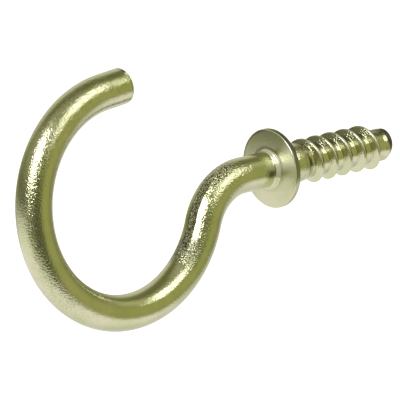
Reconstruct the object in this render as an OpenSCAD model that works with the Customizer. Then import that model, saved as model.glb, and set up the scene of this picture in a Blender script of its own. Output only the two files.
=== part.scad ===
// Shouldered cup hook, formed from one piece of wire: a round loop, a drop bend,
// an upset collar that seats on the wall, and a coarse wood-screw shank.
// Origin: centre of the collar's flat back face. +X runs along the screw into
// the wall, +Z is up, and the loop lies in the XZ plane with its mouth upwards.

/* [Hook wire] */
// Diameter of the wire that the hook is bent from
wire_d = 3.4; // [2.6:0.1:4.2]
// Radius of the loop, to the middle of the wire
loop_r = 10.25; // [9:0.05:16]
// Angle that the loop sweeps, from the drop bend round to the free end
loop_sweep = 243; // [220:1:260]
// Radius of the bend that drops the wire into the loop, to its middle
drop_r = 5.6; // [4:0.1:7]
// Angle that the drop bend turns through
drop_angle = 68.5; // [55:0.5:80]
// Straight wire between the bead and the drop bend
stem_len = 2.8; // [1:0.1:8]
// Straight wire at the free end of the loop
tail_len = 2.6; // [1:0.1:8]
// Rounding round the cut free end
tail_round = 0.35; // [0.1:0.05:0.8]

/* [Collar] */
// Diameter of the collar
collar_d = 7.5; // [6.5:0.1:12]
// Thickness of the collar at its rim
rim_t = 0.55; // [0.4:0.05:1.5]
// How far the front of the collar bulges beyond its rim
dome_h = 0.35; // [0.2:0.05:0.8]
// Rounding of the two edges of the rim
rim_round = 0.14; // [0.05:0.01:0.18]
// Thickness of the raised bead where the wire enters the collar
bead_t = 0.6; // [0.4:0.05:1]
// Height of that bead above the wire
bead_h = 0.25; // [0.1:0.05:0.45]

/* [Screw shank] */
// Diameter of the plain neck behind the collar
neck_d = 3.5; // [3.4:0.1:4.2]
// Length of the plain neck
neck_len = 2.4; // [2.2:0.1:5]
// Diameter over the crests of the thread
crest_d = 4.2; // [3.8:0.1:5]
// Diameter at the root of the thread
root_d = 2.95; // [2.4:0.05:3.2]
// Length of the threaded stretch
thread_len = 10.65; // [7:0.05:20]
// Distance from one crest to the next
pitch = 1.82; // [1.5:0.02:2.4]
// Angle round the screw at which the ridge starts
start_angle = 345; // [0:5:355]
// Angle between each side of the ridge and a plane square to the screw
flank_angle = 30; // [20:1:35]
// Width of the flat left on the crest
crest_w = 0.18; // [0.1:0.02:0.3]
// Travel along the screw over which the ridge rises at its start
run_in = 1.2; // [0.4:0.1:2]
// Travel along the screw over which the ridge sinks at its end
run_out = 0.9; // [0.4:0.1:2]

/* [Point] */
// Diameter of the plain pilot beyond the thread
pilot_d = 3.05; // [3:0.05:3.6]
// Length of the pilot
pilot_len = 0.15; // [0.1:0.05:2]
// Length of the blunt cone on the pilot
cone_len = 0.95; // [0.6:0.05:2]
// Diameter of the flat at the very end
tip_d = 1.35; // [0.6:0.05:2]

/* [Hidden] */
$fn = 96;

wire_r = wire_d / 2;
// the drop bend and the free end come out of the bending a hair thinner, and
// each laps into the full wire beside it
thin_d = wire_d - 0.02;
lap = 0.05;
lap_angle = lap / drop_r * 180 / PI;

// the collar's front is a cap of this sphere, which leaves dome_h at the rim
collar_r = collar_d / 2;
collar_t = rim_t + dome_h;
dome_r = (collar_r * collar_r + dome_h * dome_h) / (2 * dome_h);
dome_x = dome_r - collar_t;
// centre of the rounding that runs smoothly into the cap
rim_c = collar_r - rim_round;
rim_x = dome_x - sqrt(pow(dome_r - rim_round, 2) - rim_c * rim_c);
rim_join = rim_c * dome_r / (dome_r - rim_round);

// the bead is a ring, sunk by this much into the cap
bead_sink = 0.2;
bead_x = bead_sink - collar_t - bead_t / 2;
bead_ring_r = wire_r + bead_h - bead_t / 2;

// middle of the wire: end of the stem, end of the drop bend, centre of the loop
bend_x = bead_x - bead_t / 2 - stem_len;
drop_c = [bend_x, -drop_r];
drop_end = drop_c + drop_r * [-sin(drop_angle), cos(drop_angle)];
loop_c = drop_end + loop_r * [-sin(drop_angle), cos(drop_angle)];
// slope of the free end above +X
tail_angle = 180 + drop_angle - loop_sweep;
tail_start = loop_c + loop_r * [-sin(tail_angle), cos(tail_angle)];

// the neck tapers to stand a little proud of the thread's root
taper_len = 0.3;
root_lip = 0.1;
thread_x = neck_len + taper_len;
pilot_x = thread_x + thread_len;
// the threaded stretch is set into the neck and the pilot by this much
bury = 0.05;

// facets in one turn of the thread
steps = 40;
// plain root left between the ridge and each end of the threaded stretch
margin = 0.1;
flank_w = (crest_d - root_d) / 2 * tan(flank_angle);
// stations across the ridge: [distance along the screw, share of its height]
ridge = [[0, 0], [flank_w, 1], [flank_w + crest_w, 1], [2 * flank_w + crest_w, 0]];
ridge_w = ridge[len(ridge) - 1][0];
// facets along the whole ridge, from where it starts to where it has sunk
run = floor((thread_len - 2 * margin - ridge_w) / pitch * steps);

// Cup hook

// a length of wire bent in the XZ plane, from angle a0 round its centre
module bent_wire(centre, radius, a0, sweep, d) {
    translate([centre[0], 0, centre[1]])
        rotate([90, 0, 0])
            rotate_extrude(angle = sweep, start = a0)
                translate([radius, 0])
                    circle(d = d);
}

// turns a half profile about the screw axis: its X is the radius, its Y runs along +X
module turned() {
    rotate([0, 90, 0])
        rotate_extrude()
            children();
}

module hook_wire() {
    // stem, run on into the collar
    translate([bend_x, 0, 0])
        rotate([0, 90, 0])
            cylinder(d = wire_d, h = -bend_x - rim_t / 2);
    bent_wire(drop_c, drop_r, 90 - lap_angle, drop_angle + 2 * lap_angle, thin_d);
    bent_wire(loop_c, loop_r, 90 + tail_angle, loop_sweep, wire_d);
    // free end, with its cut edge rounded
    translate([tail_start[0], 0, tail_start[1]])
        rotate([0, -tail_angle, 0])
            turned() {
                translate([0, -lap])
                    square([thin_d / 2, lap + tail_len - tail_round]);
                square([thin_d / 2 - tail_round, tail_len]);
                translate([thin_d / 2 - tail_round, tail_len - tail_round])
                    circle(r = tail_round);
            }
}

module collar() {
    turned() {
        // the cap
        intersection() {
            translate([0, dome_x])
                circle(r = dome_r, $fn = 720);
            translate([0, -collar_t])
                square([rim_join, collar_t - rim_round]);
        }
        // the flat back
        translate([0, -rim_t / 2])
            square([rim_c, rim_t / 2]);
        // the rim and its two roundings
        translate([0, rim_x])
            square([collar_r, -rim_round - rim_x]);
        translate([rim_c, rim_x])
            circle(r = rim_round);
        translate([rim_c, -rim_round])
            circle(r = rim_round);
    }
    // the bead where the wire enters
    turned()
        translate([bead_ring_r, bead_x])
            circle(d = bead_t);
}

module neck() {
    turned()
        polygon([
            [0, -rim_t / 2],
            [neck_d / 2, -rim_t / 2],
            [neck_d / 2, neck_len],
            [root_d / 2 + root_lip, thread_x],
            [0, thread_x],
        ]);
}

// The thread is one closed skin laid out along the ridge itself. Row i runs
// along the screw at angle i * 360 / steps. It has a point at each end of the
// threaded stretch and, between them, the stations of every ridge that crosses
// the row. The ridge that leaves the last row comes back to row 0 as the next.

// how many ridges cross row i, and where the row's points start in the list
function ridges(i) = floor((run - i) / steps) + 1;
function row_len(i) = 2 + len(ridge) * ridges(i);
function row_start(i) = i == 0 ? 0 : row_start(i - 1) + row_len(i - 1);

// height of the ridge, 0 to 1, after s facets of its run
function swell(f) = f * f * (3 - 2 * f);
function rise(s) = swell(min(1, s / steps * pitch / run_in, (run - s) / steps * pitch / run_out));

function on_screw(x, r, i) = [x, r * cos(i * 360 / steps), r * sin(i * 360 / steps)];

function row_points(i) = concat(
    [on_screw(thread_x - bury, root_d / 2, i)],
    [
        for (k = [0 : ridges(i) - 1], station = ridge)
            let (s = i + k * steps)
            on_screw(
                thread_x + margin + station[0] + pitch * s / steps,
                root_d / 2 + station[1] * rise(s) * (crest_d - root_d) / 2,
                i
            )
    ],
    [on_screw(pilot_x + bury, root_d / 2, i)]
);

// triangles between row i and the next one round
function row_faces(i, starts) =
    let (
        next = (i + 1) % steps,
        // row 0 has one ridge more before those that come round to it
        skip = next == 0 ? len(ridge) : 0,
        left = starts[i],
        right = starts[next],
        left_end = left + row_len(i) - 1,
        right_end = right + row_len(next) - 1,
        // stations that pair up across the strip
        pairs = row_len(next) - 2 - skip
    )
    concat(
        // the ridge's first face, closed onto the start of the stretch
        [for (j = [0 : 1 : skip - 1]) [left, right + j + 1, right + j]],
        [for (j = [0 : pairs - 1]) [left + j, left + j + 1, right + skip + j + 1]],
        [for (j = [0 : pairs - 1]) [left + j, right + skip + j + 1, right + skip + j]],
        // the plain root, and the ridge's last face, closed onto the end
        [for (j = [left + pairs : left_end - 1]) [j, j + 1, right_end]],
        [[left + pairs, right_end, right_end - 1]]
    );

module thread() {
    starts = [for (i = [0 : steps - 1]) row_start(i)];
    rotate([start_angle, 0, 0])
        polyhedron(
            points = [for (i = [0 : steps - 1]) each row_points(i)],
            faces = concat(
                [starts],
                [[for (i = [steps - 1 : -1 : 0]) starts[i] + row_len(i) - 1]],
                [for (i = [0 : steps - 1]) each row_faces(i, starts)]
            )
        );
}

module point() {
    turned()
        polygon([
            [0, pilot_x],
            [pilot_d / 2, pilot_x],
            [pilot_d / 2, pilot_x + pilot_len],
            [tip_d / 2, pilot_x + pilot_len + cone_len],
            [0, pilot_x + pilot_len + cone_len],
        ]);
}

module cup_hook() {
    color([0.62, 0.64, 0.38]) {
        hook_wire();
        collar();
        neck();
        thread();
        point();
    }
}

cup_hook();
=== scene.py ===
import math

import bpy
import numpy as np
from mathutils import Matrix, Quaternion, Vector


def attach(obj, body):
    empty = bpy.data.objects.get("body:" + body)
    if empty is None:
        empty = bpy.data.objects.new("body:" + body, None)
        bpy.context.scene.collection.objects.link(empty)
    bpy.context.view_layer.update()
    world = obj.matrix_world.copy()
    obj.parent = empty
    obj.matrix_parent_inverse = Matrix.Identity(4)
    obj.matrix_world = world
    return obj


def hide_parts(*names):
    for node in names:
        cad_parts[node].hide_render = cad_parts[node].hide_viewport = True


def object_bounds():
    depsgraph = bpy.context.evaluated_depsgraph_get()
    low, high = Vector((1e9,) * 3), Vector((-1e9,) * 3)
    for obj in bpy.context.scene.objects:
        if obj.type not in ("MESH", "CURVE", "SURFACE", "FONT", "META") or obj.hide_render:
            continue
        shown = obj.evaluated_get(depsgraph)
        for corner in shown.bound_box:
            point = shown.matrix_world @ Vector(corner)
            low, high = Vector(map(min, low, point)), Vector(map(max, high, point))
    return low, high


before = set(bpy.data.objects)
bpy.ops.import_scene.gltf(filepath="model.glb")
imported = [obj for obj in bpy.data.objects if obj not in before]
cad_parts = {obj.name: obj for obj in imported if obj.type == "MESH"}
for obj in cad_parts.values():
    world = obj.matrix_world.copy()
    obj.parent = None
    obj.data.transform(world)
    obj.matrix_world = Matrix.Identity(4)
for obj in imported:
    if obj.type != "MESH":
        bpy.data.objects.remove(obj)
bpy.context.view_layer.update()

# ---------------------------------------------------------------------------
# Node trees
# ---------------------------------------------------------------------------

# sockets of a Mix node that mixes colours
MIX_SHARE, MIX_FIRST, MIX_SECOND, MIX_RESULT = 0, 6, 7, 2


class Wired:
    """One output of a node. Sums on it become Math nodes in the same tree."""

    def __init__(self, tree, socket):
        self.tree, self.socket = tree, socket

    def _sum(self, operation, first, second):
        return self.tree.node("ShaderNodeMath", {"operation": operation}, {0: first, 1: second})

    def __add__(self, other):
        return self._sum("ADD", self, other)

    def __radd__(self, other):
        return self._sum("ADD", other, self)

    def __sub__(self, other):
        return self._sum("SUBTRACT", self, other)

    def __rsub__(self, other):
        return self._sum("SUBTRACT", other, self)

    def __mul__(self, other):
        return self._sum("MULTIPLY", self, other)

    def __rmul__(self, other):
        return self._sum("MULTIPLY", other, self)


class Tree:
    """A node tree that is written as expressions."""

    def __init__(self, owner):
        owner.use_nodes = True
        self.nodes, self.links = owner.node_tree.nodes, owner.node_tree.links
        self.nodes.clear()

    def node(self, kind, settings=None, sockets=None, out=0):
        """Adds a node: its settings first, then the value or link of each socket."""
        made = self.nodes.new(kind)
        for name, value in (settings or {}).items():
            setattr(made, name, value)
        for name, value in (sockets or {}).items():
            if isinstance(value, Wired):
                self.links.new(value.socket, made.inputs[name])
            else:
                made.inputs[name].default_value = value
        return Wired(self, made.outputs[out]) if len(made.outputs) else made

    def blend(self, first, second, share):
        """Colour between two colours; share 0 is the first."""
        sockets = {MIX_SHARE: share, MIX_FIRST: first, MIX_SECOND: second}
        return self.node("ShaderNodeMix", {"data_type": "RGBA"}, sockets, out=MIX_RESULT)

    def step(self, value, start, end):
        """Smooth step from 0 to 1 as value goes from start to end."""
        return self.node(
            "ShaderNodeMapRange",
            {"interpolation_type": "SMOOTHSTEP"},
            {"Value": value, "From Min": start, "From Max": end},
        )

    def dot(self, first, second):
        """How far two directions agree, from 1 to -1."""
        settings = {"operation": "DOT_PRODUCT"}
        return self.node("ShaderNodeVectorMath", settings, {0: first, 1: second}, out="Value")

    def mark(self, name):
        """A value that the mesh keeps on its points."""
        return self.node("ShaderNodeAttribute", {"attribute_name": name}, out="Fac")

    def grain(self, place, per_mm, detail, rough):
        """Noise with about per_mm lumps to the millimetre."""
        sockets = {"Vector": place, "Scale": per_mm, "Detail": detail, "Roughness": rough}
        return self.node("ShaderNodeTexNoise", {}, sockets)


def colour(r, g, b):
    return (r, g, b, 1.0)


# ---------------------------------------------------------------------------
# Sizes of the hook in millimetres, as its CAD solid has them
# ---------------------------------------------------------------------------

# the wire as it comes out of the bending, a hair thinner than it went in
WIRE_R = 1.69
LOOP_R = 10.25
LOOP_SWEEP = 243.0
DROP_R = 5.6
DROP_ANGLE = 68.5
STEM_LEN = 2.8
TAIL_LEN = 2.6
TAIL_ROUND = 0.35

COLLAR_R = 3.75
COLLAR_T = 0.9
DOME_H = 0.35
RIM_ROUND = 0.14
# middle and half thickness of the solid's one bead, from which the stem is measured
BEAD_X = -1.0
BEAD_HALF = 0.3

NECK_R = 1.75
NECK_LEN = 2.4
TAPER = 0.3
CREST_R = 2.1
ROOT_R = 1.475
THREAD_LEN = 10.65
PITCH = 1.82
START_ANGLE = 345.0
FLANK = math.radians(30)
CREST_W = 0.18
RUN_IN = 1.2
MARGIN = 0.1

PILOT_R = 1.525
PILOT_LEN = 0.15
CONE_LEN = 0.95
TIP_R = 0.675

# ---------------------------------------------------------------------------
# What forming the wire adds to those sizes, in millimetres
# ---------------------------------------------------------------------------

# points round the wire
AROUND = 112
POINT_ANGLE = 360 / AROUND
# the flat that the bending die leaves on the drop bend, as (middle, half width) round the wire
DIE_FLAT = (-3 * POINT_ANGLE, 5 * POINT_ANGLE)
# the two beads where the wire enters the collar: (x, radius of the bead's middle, half thickness)
BEADS = [(-1.14, 1.71, 0.14), (-0.90, 1.79, 0.18)]
# rings of points along the free end, the loop, the drop bend and the stem
TAIL_RINGS, LOOP_RINGS, DROP_RINGS, STEM_RINGS = 18, 250, 52, 16
# distance from one ring to the next along the beads, the thread and the pilot
BEAD_STEP = 0.018
THREAD_STEP = 0.0285
PILOT_STEP = 0.022
# fillet at the neck's foot
NECK_FILLET = 0.12
# how matt the collar's two faces are, against 0 for the drawn wire
FACE_SATIN = 1.0
# rolling the thread pushes metal up into the neck, and it runs down into the first root
SWELL = 0.13
RUN_DOWN = 2.2
# the rolled ridge stands this far proud of the solid's, and its roots, less than this far across,
# are this much hollow
PROUD = 0.06
ROOT_SPAN = 1.6
HOLLOW = 0.06
# it starts this share of a turn early, as a faint crest behind the collar, and ends more briefly
EARLY = 0.6
RUN_OUT = 0.6
# its crest and foot are eased over this on each side of the corner
EASE = 0.055
# the screw sags toward its point, as (by how much, from which x, over which length)
SAGS = [(0.05, 2.6, 1.5), (0.1, 10.0, 3.4)]
# the pilot takes over this far before the thread's end, on a rise of this length, with a waist on
# one side of this depth, deepest this far before the end
PILOT_FROM = 1.1
PILOT_RISE = 1.2
WAIST = 0.16
WAIST_BACK = 0.8
# the rim is proud of the pilot, rounded, and leans over by this many degrees into the point
RIM_PROUD = 0.03
RIM_EDGE = 0.2
RIM_BACK = 0.05
RIM_LEAN = 62
# the point is shorter than the solid's and off to one side by this share of its radius
POINT_SHORT = 0.35
OFF_CENTRE = 0.3

# ---------------------------------------------------------------------------
# Places along the wire
# ---------------------------------------------------------------------------


def on_arc(centre, radius, angle):
    a = math.radians(angle)
    return centre[0] + radius * math.cos(a), centre[1] + radius * math.sin(a)


bend_x = BEAD_X - BEAD_HALF - STEM_LEN
drop_c = (bend_x, -DROP_R)
loop_c = on_arc(drop_c, DROP_R + LOOP_R, 90 + DROP_ANGLE)
tail_angle = 180 + DROP_ANGLE - LOOP_SWEEP
tail_root = on_arc(loop_c, LOOP_R, 90 + tail_angle)
beads_x = BEADS[0][0] - BEADS[0][2]

thread_x = NECK_LEN + TAPER
pilot_x = thread_x + THREAD_LEN
rim_x = pilot_x + PILOT_LEN
rim_r = PILOT_R + RIM_PROUD
point_x = rim_x + CONE_LEN - POINT_SHORT
flank_w = (CREST_R - ROOT_R) * math.tan(FLANK)
ridge_w = 2 * flank_w + CREST_W
ridge_turns = (THREAD_LEN - 2 * MARGIN - ridge_w) / PITCH

# ---------------------------------------------------------------------------
# Marks round the wire and along it
# ---------------------------------------------------------------------------

# Angle of each point round the wire, in degrees. The loop's inner side and the top of the screw
# are at 0, the side toward the camera at -90.
turns = np.mod(np.arange(AROUND) * 360.0 / AROUND + 180, 360) - 180
around = np.radians(turns)


def smooth(f):
    f = np.clip(f, 0.0, 1.0)
    return f * f * (3 - 2 * f)


def facing(middle):
    """1 on the side of the wire that faces an angle, 0 square to it and -1 behind."""
    return np.cos(np.radians(turns - middle))


def near(middle, reach, ease):
    """1 round the wire near an angle, eased to 0 at its reach; all in degrees."""
    away = np.abs(np.mod(turns - middle + 180, 360) - 180)
    return smooth((reach - away) / ease)


def between(f, start, end, ease_in, ease_out):
    """1 from start to end, eased over ease_in after the start and ease_out before the end."""
    return smooth((f - start) / ease_in) * smooth((end - f) / ease_out)


def eased(f, soft):
    """f cut off at 0, rounded over soft on each side of the corner."""
    f = np.clip(f, -1.0, 1.0)
    share = np.clip((f + soft) / (2 * soft), 0.0, 1.0)
    return np.where(f > soft, f, soft * share * share)


class Skin:
    """The closed skin of the hook: rings of points along the wire, with the finish, painted shade
    and painted highlights marked on them.

    peel is how rough the plating is and satin how matt. The third mark darkens it, mostly as
    painted shade; the fourth makes it pale, mostly as painted highlights, and as a bare nick at the
    free end.
    """

    def __init__(self):
        self.points = []
        self.marks = {"peel": [], "satin": [], "shade_and_dark": [], "wear_and_highlight": []}

    def ring(self, x, z, heading, radii, **marks):
        """A ring round a point of the XZ plane, square to a heading in degrees above +X."""
        a = math.radians(heading)
        up, across = radii * np.cos(around), radii * np.sin(around)
        self.points.append(np.stack([x - up * math.sin(a), across, z + up * math.cos(a)], 1))
        for name, values in self.marks.items():
            values.append(np.zeros(AROUND) + marks.get(name, 0.0))

    def closed(self):
        """Points in metres, faces and marks, with a fan of triangles over each end."""
        rings = len(self.points)
        ends = [self.points[0].mean(0)[None], self.points[-1].mean(0)[None]]
        co = np.concatenate([*self.points, *ends]) / 1000.0
        here = np.arange(rings * AROUND).reshape(rings, AROUND)
        beside = np.roll(here, -1, 1)
        quads = np.stack([here[:-1], here[1:], beside[1:], beside[:-1]], -1).reshape(-1, 4)
        first, last = rings * AROUND, rings * AROUND + 1
        faces = quads.tolist()
        faces += [(int(a), int(b), first) for a, b in zip(here[0], beside[0])]
        faces += [(int(b), int(a), last) for a, b in zip(here[-1], beside[-1])]
        marks = {
            name: np.concatenate([*values, values[0][:1], values[-1][:1]])
            for name, values in self.marks.items()
        }
        return co, faces, marks


# ---------------------------------------------------------------------------
# The hook, from its free end to the point of the screw
# ---------------------------------------------------------------------------


def add_tail(skin):
    """The straight free end, cut off square and rounded at its edge."""
    # by the cut face: a corner on the loop's outer side painted dark, and a bright nick beside it
    corner = 0.85 * near(-164, 24, 8)
    nick = 2 * near(-137, 7, 3)
    a = math.radians(tail_angle)

    def ring(back, radius, shade_and_dark=0.0, corner_share=1.0):
        """A ring at this distance back from the cut face."""
        along = TAIL_LEN - back
        x, z = tail_root[0] + along * math.cos(a), tail_root[1] + along * math.sin(a)
        skin.ring(
            x, z, tail_angle + 180, radius,
            peel=0.45,
            shade_and_dark=np.maximum(shade_and_dark, corner * corner_share * smooth(1.6 - back / 0.4)),
            wear_and_highlight=nick * smooth((0.28 - abs(back - 0.25)) / 0.1),
        )

    face_r, face_dull = WIRE_R - TAIL_ROUND, 0.5
    for share in (0.02, 0.35, 0.7, 0.9, 0.97):
        ring(0.0, face_r * share, face_dull, smooth((share - 0.85) / 0.12))
    for lean in np.linspace(0, 90, 10):
        b = math.radians(lean)
        back, radius = TAIL_ROUND * (1 - math.cos(b)), face_r + TAIL_ROUND * math.sin(b)
        ring(back, radius, face_dull * (1 - lean / 90))
    for back in np.linspace(TAIL_ROUND, TAIL_LEN, TAIL_RINGS)[1:-1]:
        ring(back, WIRE_R)


def add_bends(skin):
    """The loop, the drop bend and the stem. Bending roughens the plating on the stretched side,
    and most where the wire turns sharply."""
    # sides of the wire: the loop's outside, its inside, the front between them, and a stripe of
    # the outside where the plating is crazed
    outer = smooth((np.abs(turns) - 70) / 45)
    inner = 0.12 + 0.88 * near(0, 60, 18)
    front = between(turns, -88, -46, 8, 6)
    crazed = 0.14 * outer + 0.24 * near(-138, 26, 14)
    middle, half = DIE_FLAT
    away = np.abs(turns - middle)

    def ring(x, z, heading, die, peel, shade_and_dark=0.0):
        """A ring of a bend. The die flattens it by its share and leaves it rough there, and the
        flat is painted darker as shade.
        """
        width = max(half * die, 0.01)
        flat = np.where(away < width, math.cos(math.radians(width)) / np.cos(np.radians(away)), 1.0)
        rough = near(middle, half + 1.5, 4) * die
        # the die flat is rough, and painted darker as painted shade
        peel, shade_and_dark = np.maximum(peel, 2.1 * rough), np.maximum(0.3 * rough, shade_and_dark)
        skin.ring(x, z, heading, WIRE_R * flat, peel=peel, shade_and_dark=shade_and_dark)

    # the loop, from the free end to where the wire was pinched beside the die
    start = 90 + tail_angle
    for turn in np.linspace(0, LOOP_SWEEP, LOOP_RINGS):
        x, z = on_arc(loop_c, LOOP_R, start + turn)
        stretched = between(turn, 25, 165, 25, 50) * crazed
        by_the_tail = 0.2 * smooth((75 - turn) / 20) * (0.4 + 0.6 * outer)
        pinched = between(turn, 212, 235, 6, 6)
        peel = 0.38 + np.maximum(stretched, by_the_tail) + 0.6 * pinched * inner
        peel = np.maximum(peel, 0.35 + 0.25 * front * smooth((turn - 206) / 8))
        die = smooth((turn - LOOP_SWEEP + 32) / 18)
        ring(x, z, start + turn + 90, die, peel, 0.35 * pinched * near(0, 84, 14))
    # the drop bend, from the loop up to the stem
    for turn in np.linspace(DROP_ANGLE, 0, DROP_RINGS)[1:]:
        x, z = on_arc(drop_c, DROP_R, 90 + turn)
        stretched = 0.74 * between(turn, 0, 48, 22, 10) * inner
        ring(x, z, turn, smooth((turn - 26) / 14), 0.4 + np.maximum(stretched, 0.22 * front))
    for x in np.linspace(bend_x, beads_x, STEM_RINGS)[1:-1]:
        skin.ring(x, 0.0, 0.0, WIRE_R, peel=0.35)


def add_collar(skin):
    """The beads, the collar and the neck, all turned about the screw's axis."""
    # round the axis: the upper half, the lit side that takes painted highlights, the rest of the
    # top, which takes painted shade, and a painted highlight on the front of the cap
    upper = smooth(facing(0) * 0.9 + 0.4)
    lit_side = smooth((facing(-50) - 0.35) / 0.35)
    shaded = (1 - lit_side) * smooth(0.3 + facing(45))
    painted_highlight = near(-70, 32, 24)
    dome_r = (COLLAR_R ** 2 + DOME_H ** 2) / (2 * DOME_H)
    dome_x = dome_r - COLLAR_T
    # centre of the rounding that runs smoothly into the cap, and where the two meet
    rim_c = COLLAR_R - RIM_ROUND
    front_x = dome_x - math.sqrt((dome_r - RIM_ROUND) ** 2 - rim_c ** 2)
    cap_end = rim_c * dome_r / (dome_r - RIM_ROUND)

    # the front of the collar lies before this, and the neck behind it
    front_end, neck_start = -0.2, 0.2

    def ring(x, radius, satin, wear_and_highlight=0.0, shade_and_dark=0.0):
        """A ring of the collar, with painted highlights on the lit side and painted shade on the
        rest of the top, darkest at the front's edge.
        """
        in_front = float(x < front_end)
        face = in_front * (satin == FACE_SATIN)
        edge = in_front * smooth((radius - 3.42) / 0.2)
        skin.ring(
            x, 0.0, 0.0, radius,
            peel=0.2 + 0.4 * (x > neck_start),
            satin=satin,
            wear_and_highlight=wear_and_highlight * lit_side + painted_highlight * face,
            # painted shade, stronger on the upper half and away from the lit side
            shade_and_dark=np.minimum(shade_and_dark * (0.4 + upper * 0.9) + (0.25 * wear_and_highlight + 0.6 * edge) * shaded, 1),
        )

    def cap_x(r):
        return dome_x - math.sqrt(dome_r ** 2 - r * r)

    # the beads, from where the first leaves the wire to where the last meets the cap
    foot_r = WIRE_R
    for x in np.arange(beads_x, BEADS[-1][0] + BEADS[-1][2], BEAD_STEP):
        r = WIRE_R
        for bead_x, bead_r, half in BEADS:
            if abs(x - bead_x) < half:
                r = max(r, bead_r + math.sqrt(half ** 2 - (x - bead_x) ** 2))
        if x > cap_x(r):
            break
        # the beads are painted pale on the lit side, as a painted highlight
        ring(x, r, 0.0, wear_and_highlight=float(r > WIRE_R + 0.06))
        foot_r = r
    # the cap, with painted shade at the beads' foot, and the rim rounded at both edges
    for r in np.linspace(foot_r + 0.03, cap_end, 22):
        ring(cap_x(r), r, FACE_SATIN, shade_and_dark=0.05 + 0.35 * smooth((2.3 - r) / 0.25))
    slope = math.degrees(math.asin(cap_end / dome_r))
    for lean in np.linspace(180 - slope, 90, 9)[1:]:
        a = math.radians(lean)
        # the front rounding: a painted highlight where it turns forward, painted shade on the rim's
        # outside
        ring(front_x + RIM_ROUND * math.cos(a), rim_c + RIM_ROUND * math.sin(a), 0.1,
             wear_and_highlight=0.7 * (lean > 128), shade_and_dark=0.7 * smooth((125 - lean) / 15))
    for lean in np.linspace(90, 0, 8):
        a = math.radians(lean)
        # the back rounding: a painted shadow where the rim meets the neck
        ring(-RIM_ROUND + RIM_ROUND * math.cos(a), rim_c + RIM_ROUND * math.sin(a), 0.4, shade_and_dark=0.8)
    # the flat back, and the neck with a small fillet at its foot, painted darker as shade in the
    # corner
    fillet_r = NECK_R + NECK_FILLET
    for r in np.linspace(rim_c, fillet_r, 9)[1:]:
        ring(0.0, r, FACE_SATIN)
    for lean in np.linspace(0, 90, 6)[1:]:
        a = math.radians(lean)
        ring(NECK_FILLET * (1 - math.cos(a)), fillet_r - NECK_FILLET * math.sin(a), 0.4, shade_and_dark=0.3)
    for x in np.linspace(NECK_FILLET, NECK_LEN, 16)[1:]:
        ring(x, NECK_R + SWELL * smooth(x - 1.0), 0.1)


def ridge_at(x):
    """Height of the ridge above its root at x, as a share, at each point round the screw, and how
    far x lies behind the last ridge and before the next one."""
    # the solid counts its angles round the screw from +Y toward +Z
    angle = 90.0 - turns
    first = np.mod(angle - START_ANGLE, 360.0) / 360.0
    height = np.zeros(AROUND)
    far = 9.0
    behind, before = height + far, height + far
    middle, soft = ridge_w / 2, EASE / flank_w
    for k in range(-1, math.ceil(ridge_turns) + 2):
        turned = first + k
        w = x - (thread_x + MARGIN + PITCH * turned)
        # straight flanks, with the crest and the foot eased
        reach = (middle - np.abs(w - middle)) / flank_w
        reach = np.where(reach > 0.5, 1 - eased(1 - reach, soft), eased(reach, soft))
        there = (turned >= -EARLY) & (turned <= ridge_turns)
        begun = smooth((turned + EARLY) * PITCH / RUN_IN)
        ending = smooth((ridge_turns - turned) * PITCH / RUN_OUT)
        height = np.maximum(height, reach * (begun * ending) * there)
        behind = np.where(there & (w > ridge_w), np.minimum(behind, w - ridge_w), behind)
        before = np.where(there & (w < 0), np.minimum(before, -w), before)
    return height, behind, before


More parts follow.
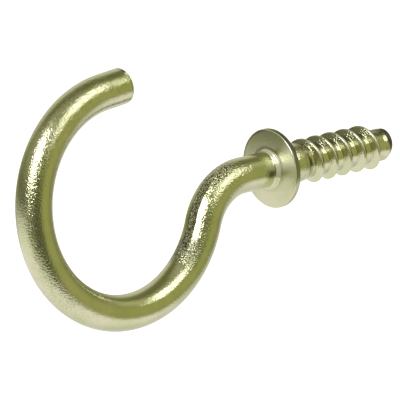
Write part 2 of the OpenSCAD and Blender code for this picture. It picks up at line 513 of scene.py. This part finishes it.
def add_screw(skin):
    """The end of the neck, the thread, the pilot and the point."""
    upper = smooth(facing(0) * 0.9 + 0.4)
    below = smooth(0.5 - facing(0) * 1.5)
    low = smooth(-0.25 - facing(0) * 1.5)
    peel = 0.34 + 0.25 * smooth(facing(0) * 1.5 - 0.5)
    # painted shade over the top of the screw
    top_shade = 0.45 * smooth(facing(0) * 2 - 0.8)
    waist = smooth(3 * facing(-80) - 0.6)
    # the point is painted dark, and the dark reaches further back on the upper front
    dark_front = smooth(0.2 + 1.1 * facing(-25))
    dark_front_x = rim_x + 0.07 - 0.26 * dark_front

    def ring(x, radii, shade_and_dark, wear_and_highlight=0.0):
        """A ring of the screw, lowered by its sag, with painted shade on its top and its painted
        highlights kept to the upper side.
        """
        sag = sum(by * smooth((x - start) / over) for by, start, over in SAGS)
        shade_and_dark = np.minimum(shade_and_dark + top_shade, 1)
        skin.ring(x, -sag, 0.0, radii, peel=peel, shade_and_dark=shade_and_dark, wear_and_highlight=wear_and_highlight * upper)

    def darkened(x, shade_and_dark):
        return np.maximum(shade_and_dark, dark_front * smooth((x - dark_front_x) / 0.07))

    root_r, neck_r = ROOT_R + PROUD, NECK_R + SWELL
    rise_x, waist_x = pilot_x - PILOT_RISE, pilot_x - WAIST_BACK
    for x in np.arange(NECK_LEN + 0.06, pilot_x, THREAD_STEP):
        core = root_r + (neck_r - root_r) * smooth(1 - (x - NECK_LEN) / RUN_DOWN)
        if x > pilot_x - PILOT_FROM:
            core = np.interp(x, [rise_x, pilot_x], [root_r, rim_r])
            core = core - waist * np.interp(x, [rise_x, waist_x, pilot_x], [0.0, WAIST, 0.0])
        height, behind, before = ridge_at(x)
        in_root = (before < ROOT_SPAN) & (behind < ROOT_SPAN)
        hollow = HOLLOW * smooth(np.minimum(behind, before) / 0.4) * in_root
        ridge = ROOT_R + height * (CREST_R + PROUD - ROOT_R) - hollow * (height < 0.01)
        # painted shade along the ridge's foot and in the root on both sides of it, and a painted
        # highlight on the crest
        foot = np.where(height > 0.01, smooth(1 - np.abs(height - 0.12) / 0.2), 0.0)
        shade_dark = smooth(1.2 - behind / 0.32) * (0.3 + 0.35 * below)
        shade_dark = shade_dark + smooth(1.3 - before / 0.22) * 0.2 * low
        shade_and_dark = darkened(x, 0.03 + np.maximum(0.15 * foot, shade_dark))
        ring(x, np.maximum(core - hollow, ridge), shade_and_dark, smooth((height - 0.8) / 0.18))

    # the rounded rim with a painted highlight, then the point, painted dark and darkest on its
    # upper side
    pilot_dull, pilot_highlight = 0.04, 0.3
    edge_x = rim_x - RIM_BACK
    for x in np.arange(pilot_x + 0.01, edge_x - 0.005, PILOT_STEP):
        ring(x, rim_r, darkened(x, pilot_dull), pilot_highlight)
    ring(edge_x, rim_r, pilot_dull + (1 - pilot_dull) * dark_front, pilot_highlight)
    above = smooth(0.75 + 1.2 * facing(0))
    for lean in np.linspace(0, RIM_LEAN, 8)[1:]:
        a = math.radians(lean)
        cone_x, cone_r = edge_x + RIM_EDGE * math.sin(a), rim_r - RIM_EDGE * (1 - math.cos(a))
        shade_and_dark = np.maximum(dark_front, above * smooth((lean - 12) / 16))
        ring(cone_x, cone_r, shade_and_dark, 0.8 * smooth((50 - lean) / 15))
    dark = 0.35 + 0.65 * above
    aside = OFF_CENTRE * facing(-40)
    for share in np.linspace(0, 1, 12)[1:-1]:
        x = cone_x + (point_x - 0.05 - cone_x) * share
        r = TIP_R + (cone_r - TIP_R) * math.sqrt(1 - share ** 2.2)
        ring(x, r * (1 + share * aside), dark)
    # the blunt end, as (distance back, radius)
    tip = [(0.04, TIP_R), (0.01, TIP_R - 0.03), (0.0, TIP_R - 0.08)]
    tip += [(0.0, TIP_R * share) for share in (0.6, 0.2)]
    for back, r in tip:
        ring(point_x - back, r * (1 + aside), dark)


def make_hook():
    skin = Skin()
    add_tail(skin)
    add_bends(skin)
    add_collar(skin)
    add_screw(skin)
    co, faces, marks = skin.closed()
    mesh = bpy.data.meshes.new("hook")
    mesh.from_pydata(co.tolist(), [], faces)
    mesh.update()
    for name, values in marks.items():
        layer = mesh.attributes.new(name, "FLOAT", "POINT")
        layer.data.foreach_set("value", values.astype(np.float32))
    mesh.shade_smooth()
    made = bpy.data.objects.new("hook", mesh)
    bpy.context.scene.collection.objects.link(made)
    return made


# ---------------------------------------------------------------------------
# Finish
# ---------------------------------------------------------------------------


def brass_plate():
    """Thin bright greenish-yellow plating over drawn wire, with painted highlights and painted
    shade laid on it.
    """
    material = bpy.data.materials.new("plated_wire")
    t = Tree(material)
    place = t.node("ShaderNodeTexCoord", out="Object")
    mm = t.node("ShaderNodeVectorMath", {"operation": "SCALE"}, {0: place, "Scale": 1000.0})
    peel, satin, shade_and_dark, wear_and_highlight = t.mark("peel"), t.mark("satin"), t.mark("shade_and_dark"), t.mark("wear_and_highlight")

    fine = t.grain(mm, 11.0, 2.0, 0.6)
    pimples = t.grain(mm, 6.4, 1.0, 0.5)
    clouds = t.grain(mm, 0.45, 3.0, 0.55)

    olive = colour(0.60, 0.625, 0.365)
    straw = colour(0.685, 0.668, 0.455)
    speck = colour(0.40, 0.41, 0.21)
    pit = colour(0.10, 0.10, 0.06)
    bare_and_highlight = colour(0.90, 0.89, 0.74)
    shade_dark = colour(0.045, 0.045, 0.03)
    plate = t.blend(olive, straw, t.step(clouds, 0.35, 0.65))
    plate = t.blend(plate, speck, t.step(fine, 0.60, 0.75) * 0.4)
    pits = t.step(pimples, 0.52, 0.36) * peel * peel
    plate = t.blend(plate, pit, pits * peel * 0.8)
    # painted highlights on the lit side of the beads, rims and crests and on the collar's face, and
    # a bare nick at the free end
    plate = t.blend(plate, bare_and_highlight, wear_and_highlight * 0.7)
    # painted shade in the roots, creases and unlit sides, on the die flat and on the screw's top;
    # the free end's face and the point are darkened too
    plate = t.blend(plate, shade_dark, shade_and_dark)

    rough = 0.075 + satin * 0.19 + wear_and_highlight * 0.14
    rough = rough + t.step(shade_and_dark, 0.5, 1.0) * 0.3 + t.step(fine, 0.4, 0.7) * 0.04
    relief = (fine + pimples * peel * 10.5) * peel
    bump = t.node("ShaderNodeBump", {}, {"Strength": 1.0, "Distance": 0.00001, "Height": relief})
    shader = t.node(
        "ShaderNodeBsdfPrincipled",
        {},
        {
            "Base Color": plate,
            "Metallic": 1.0 - wear_and_highlight * 0.45 - t.step(shade_and_dark, 0.55, 1.0) * 0.85,
            "Roughness": rough,
            "Normal": bump,
            "Coat Weight": 1.0 - shade_and_dark,
            "Coat Roughness": 0.24,
            "Coat IOR": 1.5,
        },
    )
    t.node("ShaderNodeOutputMaterial", {}, {"Surface": shader})
    return material


# ---------------------------------------------------------------------------
# Studio
# ---------------------------------------------------------------------------


def toward(azimuth, elevation):
    """Unit vector; azimuth 0 is the front, -Y, and 90 is +X."""
    a, e = math.radians(azimuth), math.radians(elevation)
    return Vector((math.sin(a) * math.cos(e), -math.cos(a) * math.cos(e), math.sin(e)))


def studio_world():
    """White to the camera. Metal sees a white table, pale walls and a dim room behind it."""
    world = bpy.data.worlds.new("studio")
    bpy.context.scene.world = world
    t = Tree(world)
    look = t.node("ShaderNodeTexCoord", out="Generated")
    height = t.dot(look, (0.0, 0.0, 1.0))

    def leaning(azimuth):
        """How far a direction leans towards an azimuth, and 0 on the far side."""
        lean = t.dot(look, toward(azimuth, 0))
        return t.node("ShaderNodeMath", {"operation": "MAXIMUM"}, {0: lean, 1: 0.0})

    def patch(azimuth, elevation, wide, high, soft):
        """An oval patch of wall; its edge is soft over this share of its half width."""
        centre = toward(azimuth, elevation)
        across = toward(azimuth + 90, 0)
        a = t.dot(look, across) * (1 / math.sin(math.radians(wide)))
        b = t.dot(look, centre.cross(across)) * (1 / math.sin(math.radians(high)))
        in_front = t.step(t.dot(look, centre), 0.0, 0.1)
        return t.step(a * a + b * b, 1.0, (1 - soft) ** 2) * in_front

    # the room as patches laid over each other: the tint, then azimuth, elevation, half width and
    # half height in degrees, and softness
    walls = [
        ((0.19, 0.19, 0.09), 150, 70, 60, 30, 0.6),  # dim ceiling
        ((0.42, 0.42, 0.31), -62, 73, 40, 22, 0.9),  # lit haze over the left soft box
        ((0.66, 0.65, 0.52), 150, 27, 40, 34, 0.8),  # backdrop
        ((0.36, 0.365, 0.265), -115, 42, 40, 26, 0.7),  # wall at the left
        ((0.36, 0.36, 0.26), -22, 26, 34, 16, 0.8),  # haze between the soft boxes
        ((0.55, 0.56, 0.34), 62, 36, 24, 17, 0.9),  # haze beside the right soft box
        ((0.46, 0.46, 0.31), 14, 61, 40, 15, 0.8),  # haze over the right soft box
        ((0.165, 0.165, 0.115), -128, 10, 55, 14, 0.7),  # dim foot of the left wall
        ((0.42, 0.43, 0.17), 28, 2, 60, 45, 0.7),  # yellowish front of the room
        ((0.12, 0.125, 0.075), -24, -14, 48, 40, 0.75),  # dark under the camera
        ((0.33, 0.34, 0.29), -70, 9, 34, 17, 0.8),  # pale low wall
    ]
    room = colour(0.265, 0.265, 0.13)
    for tint, *where in walls:
        room = t.blend(room, colour(*tint), patch(*where))
    # the white table ends lower where the dark front of the room hangs over it
    front = leaning(-28)
    edge = height + front * front * 0.88 + leaning(85) * 0.3 - leaning(-125) * 0.16
    room = t.blend(room, colour(1.0, 0.985, 0.96), t.step(edge, -0.05, -0.44))
    room = t.blend(room, colour(0.74, 0.73, 0.68), patch(128, -40, 60, 50, 0.8))

    ray = t.node("ShaderNodeLightPath", out="Is Camera Ray")
    seen = t.node("ShaderNodeBackground", {}, {"Color": colour(1, 1, 1), "Strength": 1.0})
    lit = t.node("ShaderNodeBackground", {}, {"Color": room, "Strength": 1.0})
    mixed = t.node("ShaderNodeMixShader", {}, {0: ray, 1: lit, 2: seen})
    t.node("ShaderNodeOutputWorld", {}, {"Surface": mixed})


def soft_box(name, azimuth, elevation, wide, high, glow, tilt=0.0):
    """A soft box of the given angular size, aimed at the hook; glow is how bright it looks."""
    away = 0.6
    lamp = bpy.data.lights.new(name, "AREA")
    lamp.shape = "RECTANGLE"
    lamp.size = 2 * away * math.tan(math.radians(wide / 2))
    lamp.size_y = 2 * away * math.tan(math.radians(high / 2))
    lamp.energy = glow * math.pi * lamp.size * lamp.size_y
    made = bpy.data.objects.new(name, lamp)
    back = toward(azimuth, elevation)
    made.location = hook_middle + back * away
    made.rotation_mode = "QUATERNION"
    aim = (-back).to_track_quat("-Z", "Y")
    made.rotation_quaternion = aim @ Quaternion((0, 0, 1), math.radians(tilt))
    bpy.context.scene.collection.objects.link(made)


def studio_floor(height):
    """A wide pale floor. It reads white to the camera and keeps the hook's shadow."""
    size = 3.0
    mesh = bpy.data.meshes.new("floor")
    corners = ((-size, -size), (size, -size), (size, size), (-size, size))
    mesh.from_pydata([(x, y, height) for x, y in corners], [], [(0, 1, 2, 3)])
    floor = bpy.data.objects.new("floor", mesh)
    bpy.context.scene.collection.objects.link(floor)
    material = bpy.data.materials.new("pale_floor")
    t = Tree(material)
    ray = t.node("ShaderNodeLightPath", out="Is Camera Ray")
    chalk = t.node("ShaderNodeBsdfDiffuse", {}, {"Color": colour(0.85, 0.85, 0.85)})
    lift = t.node("ShaderNodeEmission", {}, {"Color": colour(1, 1, 1), "Strength": ray * 0.85})
    both = t.node("ShaderNodeAddShader", {}, {0: chalk, 1: lift})
    t.node("ShaderNodeOutputMaterial", {}, {"Surface": both})
    mesh.materials.append(material)
    floor.visible_glossy = False


def studio_camera():
    """A long lens, low in front of the hook and to its left, tipped a little."""
    azimuth, elevation, roll = -40.46, 9.23, 5.52
    away, off_right, off_up = 0.4903, 0.006909, 0.003019
    sensor, reach = 36.0, 13.124
    back = toward(azimuth, elevation)
    a, r = math.radians(azimuth), math.radians(roll)
    level = Vector((math.cos(a), math.sin(a), 0.0))
    upright = back.cross(level)
    right = level * math.cos(r) - upright * math.sin(r)
    up = level * math.sin(r) + upright * math.cos(r)
    lens = bpy.data.cameras.new("camera")
    lens.sensor_width = sensor
    lens.lens = sensor * reach
    lens.clip_start, lens.clip_end = 0.01, 20.0
    camera = bpy.data.objects.new("camera", lens)
    place = back * away - right * off_right - up * off_up
    camera.matrix_world = Matrix((
        (right.x, up.x, back.x, place.x),
        (right.y, up.y, back.y, place.y),
        (right.z, up.z, back.z, place.z),
        (0, 0, 0, 1),
    ))
    bpy.context.scene.collection.objects.link(camera)
    bpy.context.scene.camera = camera


hook = make_hook()
hook.data.materials.append(brass_plate())
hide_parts("cup_hook")
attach(hook, "root")

hook_low, hook_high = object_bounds()
hook_middle = (hook_low + hook_high) / 2
floor_drop = 0.06
studio_floor(hook_low.z - floor_drop)
studio_world()
soft_box("left_box", -67, 38, 34, 28, glow=6.0, tilt=-22)
soft_box("right_box", 18, 40, 35, 30, glow=1.85)
soft_box("side_box", 95, 20, 12, 10, glow=2.2)
studio_camera()

bpy.context.scene.view_settings.view_transform = "Standard"
